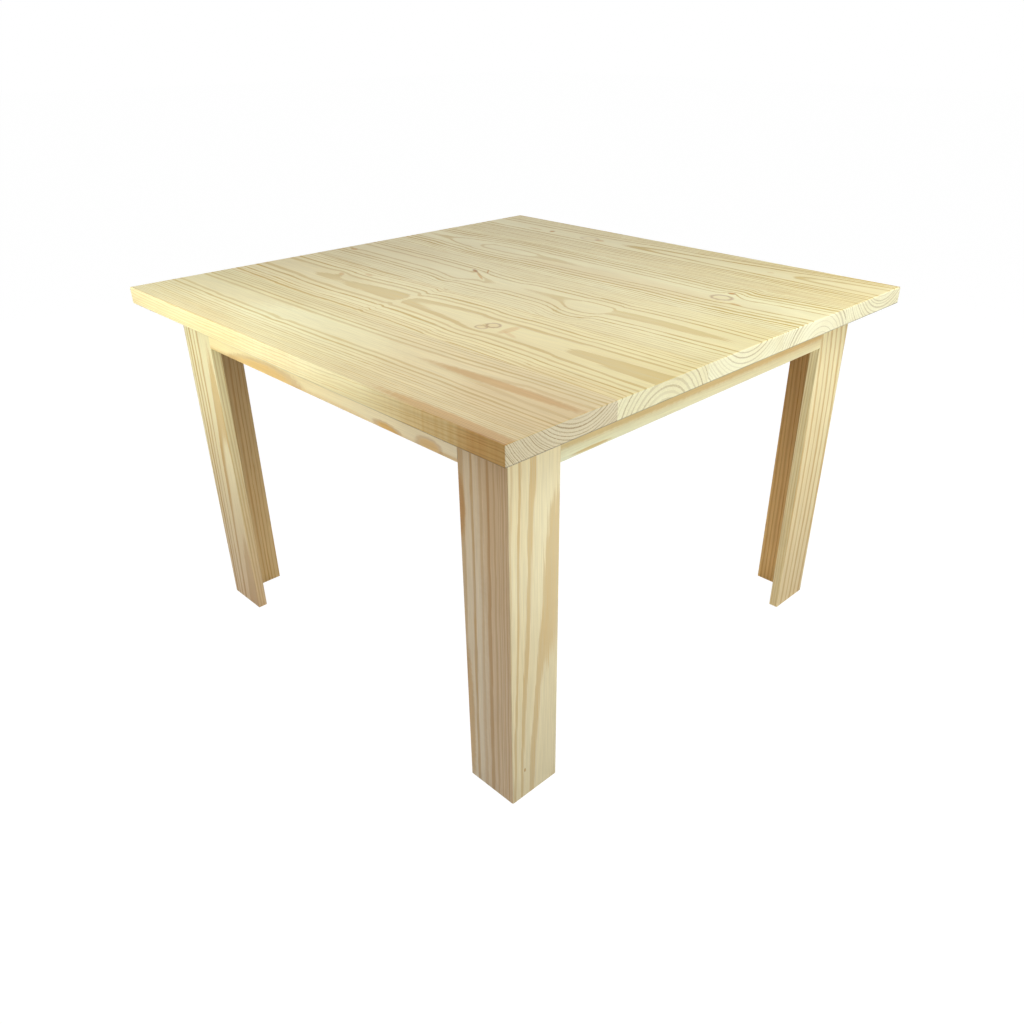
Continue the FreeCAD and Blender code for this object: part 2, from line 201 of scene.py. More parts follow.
BOARDS = {
    "top_board_1": {
        **top(-440), "pith": (1, 80),
        "path": ((-HALF_TOP, 24), (-250, 21.5), (0, 22), (200, 26.5), (430, 34), (HALF_TOP, 36)),
        "rings": ((-HALF_TOP, 2.17), (-250, 2.07), (0, 2.03), (100, 2.02), (190, 1.99),
                  (215, 1.94), (290, 1.82), (355, 1.64), (430, 1.45), (HALF_TOP, 1.25)),
        "growth": (0.13, 0.0012, 2), "summer": (0.6, 0.42, 0.12, 0.9, 1.0),
        "knots": ((-365, -16, 16, 7, 0.4, 0, 0, 0.15), (-145, -20, 12, 8, 0.5, 0, 0, 0.2),
                  (436, 45, 18, 10, -0.6, 0, 0, 0.2), (400, 35, 190, 13, 0.035, 0, 0.65, 0),
                  # The long yellower band at -330 along the front arris is a painted highlight
                  (440, -99, 200, 14, 0, 0, 0.66, 0), (-330, -110, 330, 8, 0, 0, 0.15, 0),
                  (160, -110, 130, 5, 0, 0, -0.22, 0), (540, -110, 90, 5, 0, 0, 0.6, 0),
                  (-40, -20, 260, 110, 0, 0, -0.25, 0), (470, 0, 150, 80, 0, 0, 0.2, 0)),
        "contrast": 0.78, "tint": ((1.12, 1.16, 1.13), (0.9, 0.81, 0.64)),
        "end": ((0.83, 0.81, 0.75), 1.4), "seed": 1.3,
    },
    "top_board_2": {
        **top(-220), "pith": (-1, 80),
        "path": ((-HALF_TOP, 8), (-390, 5), (-336, 3), (-290, 1), (-200, 5), (-110, 9), (-82, 6),
                 (-60, 8), (0, 10), (100, 7), (150, 2), (207, 6), (300, 5), (400, 3),
                 (HALF_TOP, -1)),
        "rings": ((-HALF_TOP, 2.14), (-450, 2.08), (-400, 2.03), (-388, 1.98), (-350, 1.85),
                  (-310, 1.93), (-290, 1.95), (-250, 1.84), (-200, 1.76), (-112, 1.65),
                  (-96, 1.7), (-83, 1.99), (-72, 1.72), (-50, 1.6), (0, 1.45), (60, 1.28),
                  (120, 1.15), (190, 1.12), (300, 1.07), (336, 1.03), (346, 0.98), (358, 0.9),
                  (400, 0.84), (HALF_TOP, 0.66)),
        "growth": (0.095, 0.0003, 2), "summer": (0.5, 0.44, 0.12, 0.94, 1.0),
        "knots": ((-338, 34, 13, 7, -0.5, 0.1, 0.5, 0.25), (-290, 70, 16, 6, -0.1, 0, 0.4, 0.1),
                  (163, 9, 14, 12, 0, 0.6, 0.2, 0.2), (155, -13, 12, 9, 0, 0.5, 0.2, 0.2),
                  (203, 10, 12, 30, 0, 0, 0.4, 0), (222, -8, 24, 6, -0.3, 0, 0.3, 0),
                  (470, 1, 95, 9, 0, 0, 0.02, 0), (470, -110, 150, 45, 0, 0, 0.2, 0)),
        "contrast": 0.9, "tint": ((1.16, 1.16, 1.16), (1.01, 0.99, 0.77)),
        "end": ((0.96, 1.0, 0.9), 1.0), "seed": 2.7,
    },
    "top_board_3": {
        **top(0), "pith": (1, 80),
        "path": ((-HALF_TOP, 4), (-400, 3), (-250, 1), (-200, -1), (-150, -4), (-110, -6),
                 (-43, -8), (0, -2), (25, 2), (100, 2), (140, 0), (200, -5), (262, 1), (330, 5),
                 (400, 7), (HALF_TOP, 5)),
        "rings": ((-HALF_TOP, 1.52), (-400, 1.5), (-250, 1.5), (-150, 1.5), (-125, 1.7),
                  (-105, 1.84), (-60, 1.95), (-43, 1.99), (-20, 2.04), (0, 2.05), (15, 2.03),
                  (25, 1.99), (60, 1.95), (100, 1.9), (120, 1.85), (140, 1.77), (160, 1.6),
                  (200, 1.3), (235, 1.4), (250, 1.66), (258, 1.8), (300, 1.8), (400, 1.84),
                  (500, 1.95), (520, 1.99), (HALF_TOP, 2.03)),
        "growth": (0.1, 0.0006, 2), "summer": (0.72, 0.46, 0.1, 0.95, 1.0),
        "knots": ((-158, 33, 12, 5, -0.45, 0.5, 1.6, 0.3), (-118, 10, 32, 4, -0.62, 0, 0.7, 0.2),
                  (-132, 46, 14, 3, -1.0, 0, 0.8, 0.1), (-519, -26, 10, 7, 0, 0.3, 0.9, 0.3),
                  (215, -88, 22, 18, 0, 0, 0, 0.5), (-148, -72, 16, 20, 0, 0, 0, 0.4),
                  (-150, -28, 28, 14, 0, 0, 0, 0.3), (205, -30, 28, 14, 0, 0, 0, 0.3)),
        "contrast": 0.85, "tint": ((1.1, 1.1, 1.1), (1.03, 1.04, 0.9)),
        "end": ((1.0, 1.06, 1.0), 0.8), "seed": 3.1,
    },
    "top_board_4": {
        **top(220), "pith": (-1, 80),
        "path": ((-HALF_TOP, 0), (-450, 0), (-350, 2), (-250, 3), (-100, 5), (0, 3.5), (100, 4.5),
                 (200, 5.5), (300, 2), (343, 6), (385, 2), (430, 5), (HALF_TOP, 15)),
        "rings": ((-HALF_TOP, 2.03), (-542, 1.99), (-500, 1.93), (-457, 1.86), (-440, 1.74),
                  (-420, 1.56), (-400, 1.38), (-365, 1.12), (-346, 1.0), (-334, 0.84),
                  (-305, 0.64), (-250, 0.6), (-180, 0.7), (-155, 0.84), (-100, 0.88), (-70, 0.93),
                  (-20, 0.98), (30, 1.01), (60, 1.06), (150, 1.18), (200, 1.3), (300, 1.32),
                  (343, 1.2), (385, 1.6), (430, 1.5), (HALF_TOP, 1.45)),
        "growth": (0.1, 0.0003, 2), "summer": (0.78, 0.46, 0.08, 0.95, 1.0),
        "knots": ((341, 6, 22, 17, 0, 0.55, 0.05, 0.2), (339, 44, 8, 6, 0, 0.5, 1.2, 0.4),
                  (388, -17, 16, 5, -0.1, 0, 0.55, 0), (100, -25, 300, 50, 0, 0, 0.15, 0)),
        "contrast": 1.05, "tint": ((1.15, 1.16, 1.16), (1.04, 1.09, 1.06)),
        "end": ((1.01, 1.07, 1.03), 0.9), "seed": 4.9,
    },
    "top_board_5": {
        **top(440), "pith": (1, 80),
        "path": ((-HALF_TOP, 14), (-400, 13.5), (-100, 16), (0, 21), (100, 22), (200, 25),
                 (300, 28), (350, 30), (400, 33), (HALF_TOP, 38)),
        "rings": ((-HALF_TOP, 2.3), (-400, 2.28), (-205, 2.3), (-160, 2.2), (-120, 2.05),
                  (-104, 1.99), (-80, 1.93), (-40, 1.8), (0, 1.72), (100, 1.6), (200, 1.4),
                  (300, 1.15), (340, 1.03), (350, 0.99), (365, 0.86), (400, 0.72),
                  (HALF_TOP, 0.4)),
        "growth": (0.12, 0.0003, 2), "summer": (0.72, 0.46, 0.12, 0.94, 1.0),
        "knots": ((-386, 6, 30, 5, 0, 0, 0.5, 0.1), (-331, 11, 7, 8, 0, 0.3, 1.2, 0.2),
                  (-205, 14, 26, 17, 0, 0.25, 0.1, 0.2), (-172, 12, 16, 9, 0, 0, 0.6, 0.1),
                  (300, 26, 10, 6, 0, 0, 0.3, 0.1)),
        "contrast": 1.05, "tint": ((1.14, 1.15, 1.16), (1.02, 1.03, 0.95)),
        "end": ((1.02, 1.09, 1.05), 0.7), "seed": 5.5,
    },
    "leg_front_right_front_board": {
        **upright(("X", 1, -LEG_EDGE), ("Y", 1, FRAME)), "pith": (-1, 33),
        "path": ((0, -15), (350, -14), (UNDERSIDE, -15)),
        "rings": ((0, 2.35), (205, 2.42), (415, 2.65), (UNDERSIDE, 2.75)),
        "growth": (0.0625, 4.15e-15, 7.67), "summer": (0.4, 0.34, 0.2, 0.92, 1.0),
        "knots": ((350, 8, 700, 48, 0, 0, -0.3, 0), (350, 96, 700, 48, 0, 0, 0.12, 0),
                  (140, 2, 68, 13, 0, 0, 0.6, 0), (560, 5, 175, 12, 0, 0, 0.55, 0)),
        "contrast": 0.72, "tint": ((0.77, 0.64, 0.6), (0.83, 0.74, 0.78)),
        "seed": 6.1,
    },
    "leg_front_right_side_board": {
        **upright(("Y", 1, FRAME), ("X", -1, FRAME)), "pith": (-1, 35),
        "path": ((0, 110), (UNDERSIDE, 110)),
        "rings": ((0, 2.1), (80, 2.04), (121, 1.945), (200, 1.83), (300, 1.74), (345, 1.65),
                  (403, 1.54), (525, 1.23), (UNDERSIDE, 0.95)),
        "growth": (0.006, 0.00042, 2), "summer": (0.5, 0.38, 0.12, 0.94, 1.0),
        "knots": ((636, 30, 4, 2, 0, 0.5, 0.9, 0.2),),
        "contrast": 0.65, "tint": ((1, 1.01, 1.02), (0.74, 0.73, 0.73)),
        "seed": 7.4,
    },
    "leg_front_left_front_board": {
        **upright(("X", 1, FRAME), ("Y", 1, FRAME)), "pith": (-1, 40),
        "path": ((0, 92), (94, 93), (250, 94), (450, 95), (UNDERSIDE, 92)),
        "rings": ((0, 2.15), (55, 2.0), (94, 1.93), (250, 1.62), (310, 1.4), (470, 1.08),
                  (500, 1.0), (UNDERSIDE, 0.6)),
        "growth": (0.055, 0.0005, 2),
        "contrast": 1.0, "tint": ((1.06, 1.13, 1.07), (0.77, 0.63, 0.56)),
        "seed": 8.8,
    },
    "leg_front_left_side_board": {
        **upright(("Y", 1, FRAME), ("X", 1, FRAME)), "pith": (-1, 40),
        "path": ((0, -30), (UNDERSIDE, -40)),
        "rings": ((0, 2.2), (350, 2.4), (UNDERSIDE, 2.2)),
        "growth": (0.08, 0.0002, 2),
        # Its dark first tint, high up under the top, is painted shade
        "contrast": 0.75, "tint": ((0.5, 0.38, 0.28), (0.96, 0.82, 0.66)),
        "seed": 9.2,
    },
    "leg_back_right_side_board": {
        **upright(("Y", 1, -LEG_EDGE), ("X", -1, FRAME)), "pith": (-1, 40),
        "path": ((0, -76), (120, -64), (350, -58), (UNDERSIDE, -62)),
        "rings": ((0, 2.5), (200, 2.2), (450, 2.1), (UNDERSIDE, 2.2)),
        "growth": (0.055, 0, 2),
        "contrast": 0.95, "tint": ((1.08, 1.09, 1.04), (0.84, 0.76, 0.65)),
        "seed": 10.6,
    },
    "leg_back_right_back_board": {
        **upright(("X", 1, -LEG_EDGE), ("Y", -1, FRAME)), "pith": (1, 40),
        "path": ((0, 130), (UNDERSIDE, 140)),
        "rings": ((0, 2.2), (350, 2.4), (UNDERSIDE, 2.2)),
        "growth": (0.08, 0.0002, 2),
        # Its dark brown first tint, high up under the top, is painted shade
        "contrast": 0.8, "tint": ((0.71, 0.46, 0.25), (1.12, 0.86, 0.58)),
        "seed": 11.9,
    },
    "leg_back_left_back_board": {
        **upright(("X", 1, FRAME), ("Y", -1, FRAME)), "pith": (1, 40),
        "path": ((0, 60), (350, 48), (UNDERSIDE, 66)),
        "rings": ((0, 2.2), (250, 1.6), (500, 1.2), (UNDERSIDE, 1.6)),
        "growth": (0.07, 0.0006, 2), "seed": 12.3,
    },
    "leg_back_left_side_board": {
        **upright(("Y", 1, -LEG_EDGE), ("X", 1, FRAME)), "pith": (-1, 40),
        "path": ((0, 20), (350, 8), (UNDERSIDE, 16)),
        "rings": ((0, 2.0), (250, 1.8), (500, 2.3), (UNDERSIDE, 2.5)),
        "growth": (0.07, 0.0006, 2), "seed": 13.7,
    },
    "apron_front": {
        "along": ("X", 1, 0), "across": ("Z", -1, UNDERSIDE), "depth": ("Y", 1, FRAME),
        "pith": (-1, 60),
        "path": ((-LEG_EDGE, 30), (0, 36), (LEG_EDGE, 30)),
        "rings": ((-LEG_EDGE, 2.15), (0, 2.25), (LEG_EDGE, 2.15)),
        "growth": (0.05, 0.001, 2),
        "knots": ((-176, 68, 122, 20, -0.03, 0.3, 0.58, 0),
                  (208, 67, 36, 9, 0.08, 0.3, 0.75, 0.1), (311, 64, 30, 13, 0, 0.3, 0.6, 0.1)),
        "contrast": 0.9, "tint": ((1.16, 1.16, 0.95), (1.1, 1.07, 1.16)),
        "seed": 14.2,
    },
    "apron_right": {
        "along": ("Y", 1, 0), "across": ("Z", -1, UNDERSIDE), "depth": ("X", -1, FRAME),
        "pith": (1, 90),
        "path": ((-LEG_EDGE, 36), (0, 32), (LEG_EDGE, 38)),
        "rings": ((-LEG_EDGE, 1.3), (0, 1.28), (LEG_EDGE, 1.31)),
        "growth": (0.004, 0, 2),
        # The two long bands are painted shade and light: the warmer, darker one high on the apron
        # stands in for the shadow of the top's overhang, the pale one along its lower edge for
        # light
        "knots": ((-308, 66, 52, 3, 0, 0, 0.6, 0), (0, 40, 900, 15, 0, 0, 0.5, 0),
                  (0, 77, 900, 22, 0, 0, -0.2, 0)),
        "contrast": 0.7, "tint": ((0.88, 0.96, 1.0), (1.01, 0.96, 0.86)),
        "seed": 15.1,
    },
    "apron_back": {
        "along": ("X", -1, 0), "across": ("Z", -1, UNDERSIDE), "depth": ("Y", -1, FRAME),
        "pith": (-1, 50),
        "path": ((-LEG_EDGE, 42), (0, 30), (LEG_EDGE, 38)),
        "rings": ((-LEG_EDGE, 1.8), (-100, 2.2), (150, 1.6), (LEG_EDGE, 2.2)),
        "growth": (0.05, 0.001, 2), "seed": 16.8,
    },
    "apron_left": {
        "along": ("Y", -1, 0), "across": ("Z", -1, UNDERSIDE), "depth": ("X", 1, FRAME),
        "pith": (1, 55),
        "path": ((-LEG_EDGE, 20), (0, 44), (LEG_EDGE, 30)),
        "rings": ((-LEG_EDGE, 2.3), (-50, 1.7), (200, 2.1), (LEG_EDGE, 1.9)),
        "growth": (0.05, 0.001, 2), "seed": 17.4,
    },
}


# Materials

# How dull the varnished and the bare wood are, and how much softer the lines are on
# the edges of a board, which cut across its rings
VARNISHED_ROUGHNESS = 0.42
BARE_ROUGHNESS = 0.75
EDGE_CONTRAST = 0.65

# How far in from the face of the top, in millimetres, the painted shade along the foot
# of the top's edges starts and is full, and how much darker it is at most
SHADE_FOOT_START = 30.3
SHADE_FOOT_FULL = 31.8
SHADE_FOOT_DARKNESS = 0.6


def add(tree, made, name, kind, sockets=None, operation=None, **settings):
    """Add one node, with its sockets, its operation if it has one, and its other settings.

    kind is the node's type, without the ShaderNode that all of them start with. made
    keeps every output by the node's name and its place in the node, and the first one
    by the node's name alone. A socket given a name is joined to that output.
    """
    if operation:
        settings["operation"] = operation
    node = tree.nodes.new(f"ShaderNode{kind}")
    node.label = name
    for key, value in settings.items():
        setattr(node, key, value)
    for key, value in (sockets or {}).items():
        if isinstance(value, str):
            tree.links.new(made[value], node.inputs[key])
        else:
            node.inputs[key].default_value = value
    for index, output in enumerate(node.outputs):
        made[f"{name}.{index}"] = output
    made[name] = made.get(f"{name}.0")
    return node


def empty_nodes(owner):
    """Clear the nodes of a material or a world, and give what adds nodes to it."""
    owner.use_nodes = True
    owner.node_tree.nodes.clear()
    return functools.partial(add, owner.node_tree, {})


def new_group(name, inputs, outputs):
    """An empty node group, a dictionary of its inputs, and its output node."""
    tree = bpy.data.node_groups.new(name, "ShaderNodeTree")
    for way, sockets in (("INPUT", inputs), ("OUTPUT", outputs)):
        for socket in sockets:
            tree.interface.new_socket(socket, in_out=way, socket_type="NodeSocketFloat")
    start = tree.nodes.new("NodeGroupInput")
    made = {socket.name: socket for socket in start.outputs if socket.name}
    return tree, made, tree.nodes.new("NodeGroupOutput")


def growth_ring_group():
    """The rings of a log, cut anywhere.

    A point's distance from the heart is the root of its offset across squared plus
    its depth squared. Slow noise bends the offset, and noise along the radius makes
    some rings wide and some narrow. The ring count is that distance past the face's
    own, times the growth rate, plus a power of it times the narrowing, plus the
    shift. Within each ring the wood darkens slowly and ends sharply.
    """
    tree, made, result = new_group("growth_rings", (
        "Along", "Across", "Depth", "Heart Across", "Heart Depth", "Face Depth",
        "Rate", "Narrowing", "Power", "Shift", "Seed", "Heart Start", "Outer Start",
        "Summer Rise", "Summer Fade", "Summer End"), ("Latewood", "Fibre", "Tone"))
    put = functools.partial(add, tree, made)
    put("place", "CombineXYZ", {0: "Along", 1: "Across", 2: "Depth"})
    # A board wanders a few millimetres over the length of a forearm
    put("bend place", "VectorMath", {0: "place", 1: (1 / 240, 1 / 80, 1 / 80)}, "MULTIPLY")
    put("bend", "TexNoise",
        {"Vector": "bend place", "W": "Seed", "Scale": 1.0, "Detail": 2.0}, noise_dimensions="4D")
    put("bend mm", "Math", {0: "bend", 1: 7.0, 2: -3.5}, "MULTIPLY_ADD")
    # and its lines waver by under a millimetre over a hand's width
    put("waver place", "VectorMath", {0: "place", 1: (1 / 55, 1 / 10, 1 / 10)}, "MULTIPLY")
    put("waver", "TexNoise", {"Vector": "waver place", "W": "Seed", "Scale": 1.0, "Detail": 2.0},
        noise_dimensions="4D")
    put("waver mm", "Math", {0: "waver", 1: 3.0, 2: -1.5}, "MULTIPLY_ADD")
    put("offset", "Math", {0: "Across", 1: "Heart Across"}, "SUBTRACT")
    put("bent", "Math", {0: "offset", 1: "bend mm"}, "ADD")
    put("wavered", "Math", {0: "bent", 1: "waver mm"}, "ADD")
    put("across squared", "Math", {0: "wavered", 1: "wavered"}, "MULTIPLY")
    put("squares", "Math",
        {0: "Heart Depth", 1: "Heart Depth", 2: "across squared"}, "MULTIPLY_ADD")
    put("radius", "Math", {0: "squares"}, "SQRT")
    # Good and poor years, counted from the ring that the face just touches
    put("year", "Math", {0: "radius", 1: 1 / 13}, "MULTIPLY")
    put("years", "CombineXYZ", {0: "year", 1: "Seed", 2: 0.0})
    put("weather", "TexNoise",
        {"Vector": "years", "Scale": 1.0, "Detail": 1.0}, noise_dimensions="2D")
    put("weather mm", "Math", {0: "weather", 1: 7.0, 2: -3.5}, "MULTIPLY_ADD")
    put("from touch", "Math", {0: "radius", 1: "Face Depth"}, "SUBTRACT")
    put("steadier", "MapRange", {0: "from touch", 1: -15.0, 2: 15.0, 3: -1.0, 4: 1.0})
    put("past face", "Math", {0: "weather mm", 1: "steadier", 2: "from touch"}, "MULTIPLY_ADD")
    put("past heart", "Math", {0: "past face", 1: 0.0}, "MAXIMUM")
    put("crowding", "Math", {0: "past heart", 1: "Power"}, "POWER")
    put("steady", "Math", {0: "past face", 1: "Rate", 2: "Shift"}, "MULTIPLY_ADD")
    put("rings", "Math", {0: "crowding", 1: "Narrowing", 2: "steady"}, "MULTIPLY_ADD")
    # Fibres, about a millimetre wide and a hand long: the finest that the picture holds
    put("fibre place", "VectorMath", {0: "place", 1: (1 / 80, 1 / 1.5, 1 / 1.5)}, "MULTIPLY")
    put("fibre", "TexNoise", {"Vector": "fibre place", "W": "Seed", "Scale": 1.0, "Detail": 2.0,
        "Roughness": 0.6}, noise_dimensions="4D")
    put("ragged", "Math", {0: "fibre", 1: 0.4, 2: -0.2}, "MULTIPLY_ADD")
    put("count", "Math", {0: "rings", 1: "ragged"}, "ADD")
    put("season", "Math", {0: "count"}, "FRACT")
    put("ring", "Math", {0: "count"}, "FLOOR")
    # Summers take a bigger share of the ring further out. No two years are alike: some
    # summers start early, and some stay pale
    put("ring place", "CombineXYZ", {0: "ring", 1: "Seed", 2: 0.0})
    put("luck", "TexWhiteNoise", {"Vector": "ring place"}, noise_dimensions="2D")
    put("two lucks", "SeparateColor", {0: "luck.1"})
    put("outer luck", "Math", {0: "two lucks.0", 1: 0.26, 2: "Outer Start"}, "MULTIPLY_ADD")
    put("start", "MapRange",
        {0: "past heart", 1: 4.0, 2: 14.0, 3: "Heart Start", 4: "outer luck"})
    put("full", "Math", {0: "start", 1: "Summer Rise"}, "ADD")
    put("darkening", "MapRange",
        {0: "season", 1: "start", 2: "full"}, interpolation_type="SMOOTHSTEP")
    put("winter", "MapRange", {0: "season", 1: "Summer Fade", 2: "Summer End", 3: 1.0, 4: 0.0},
        interpolation_type="SMOOTHSTEP")
    put("late", "Math", {0: "darkening", 1: "winter"}, "MULTIPLY")
    put("depth of colour", "MapRange", {0: "two lucks.1", 1: 0.0, 2: 1.0, 3: 0.5, 4: 1.0})
    # Where the cut runs along a ring, only a thin slice of its summer wood is left
    put("slice", "MapRange", {0: "past heart", 1: 0.0, 2: 6.0, 3: 0.75, 4: 1.0})
    put("streaks", "MapRange", {0: "fibre", 1: 0.3, 2: 0.7, 3: 0.55, 4: 1.25})
    put("late and deep", "Math", {0: "late", 1: "depth of colour"}, "MULTIPLY")
    put("sliced", "Math", {0: "late and deep", 1: "slice"}, "MULTIPLY")
    put("latewood", "Math", {0: "sliced", 1: "streaks"}, "MULTIPLY")
    # Slow changes of tone, as between sapwood and heartwood
    put("tone place", "VectorMath", {0: "place", 1: (1 / 320, 1 / 60, 1 / 60)}, "MULTIPLY")
    put("tone", "TexNoise",
        {"Vector": "tone place", "W": "Seed", "Scale": 1.0, "Detail": 1.0}, noise_dimensions="4D")
    for socket, name in zip(result.inputs, ("latewood", "fibre", "tone")):
        tree.links.new(made[name], socket)
    return tree


def knot_group():
    """One knot: how far it bends the rings, its own wood, and its rim.

    The distance is the root of the sum of squares of the two offsets, each in half
    sizes of the knot, after it is slanted across the grain, so 1 is its rim. The
    bend falls off as a bell curve.
    """
    tree, made, result = new_group("knot", (
        "Along", "Across", "Middle Along", "Middle Across", "Half Length", "Half Width",
        "Slant", "Pull"), ("Pull", "Wood", "Rim"))
    put = functools.partial(add, tree, made)
    put("dx", "Math", {0: "Along", 1: "Middle Along"}, "SUBTRACT")
    put("dy", "Math", {0: "Across", 1: "Middle Across"}, "SUBTRACT")
    put("slanted", "Math", {0: "dx", 1: "Slant"}, "MULTIPLY")
    put("level", "Math", {0: "dy", 1: "slanted"}, "SUBTRACT")
    put("x", "Math", {0: "dx", 1: "Half Length"}, "DIVIDE")
    put("y", "Math", {0: "level", 1: "Half Width"}, "DIVIDE")
    put("y y", "Math", {0: "y", 1: "y"}, "MULTIPLY")
    put("squares", "Math", {0: "x", 1: "x", 2: "y y"}, "MULTIPLY_ADD")
    put("place", "CombineXYZ", {0: "dx", 1: "dy", 2: "Middle Along"})
    put("rough place", "VectorMath", {0: "place", "Scale": 0.12}, "SCALE")
    put("rough", "TexNoise", {"Vector": "rough place", "Scale": 1.0, "Detail": 2.0})
    put("rough shift", "Math", {0: "rough", 1: 0.36, 2: -0.18}, "MULTIPLY_ADD")
    put("even", "Math", {0: "squares"}, "SQRT")
    put("distance", "Math", {0: "even", 1: "rough shift"}, "ADD")
    put("fall", "Math", {0: "squares", 1: -0.3}, "MULTIPLY")
    put("bell", "Math", {0: "fall"}, "EXPONENT")
    put("pull", "Math", {0: "bell", 1: "Pull"}, "MULTIPLY")
    put("wood", "MapRange",
        {0: "distance", 1: 0.55, 2: 1.1, 3: 1.0, 4: 0.0}, interpolation_type="SMOOTHSTEP")
    put("from rim", "Math", {0: "distance", 1: 0.95}, "SUBTRACT")
    put("off rim", "Math", {0: "from rim"}, "ABSOLUTE")
    put("rim", "MapRange",
        {0: "off rim", 1: 0.0, 2: 0.32, 3: 1.0, 4: 0.0}, interpolation_type="SMOOTHSTEP")
    for socket, name in zip(result.inputs, ("pull", "wood", "rim")):
        tree.links.new(made[name], socket)
    return tree


GROUPS = {}


def group(name):
    """A node group, made when it is first needed."""
    if name not in GROUPS:
        GROUPS[name] = {"growth_rings": growth_ring_group, "knot": knot_group}[name]()
    return GROUPS[name]


def lay_curve(node, points, low, high):
    """Lay a Float Curve through points, scaled to the unit square; high > low."""
    curve = node.mapping.curves[0]
    first, last = points[0][0], points[-1][0]
    scaled = [((x - first) / (last - first), (y - low) / (high - low)) for x, y in points]
    while len(curve.points) < len(scaled):
        curve.points.new(0.5, 0.5)
    for point, place in zip(curve.points, scaled):
        point.location = place
        point.handle_type = "AUTO_CLAMPED"
    node.mapping.update()


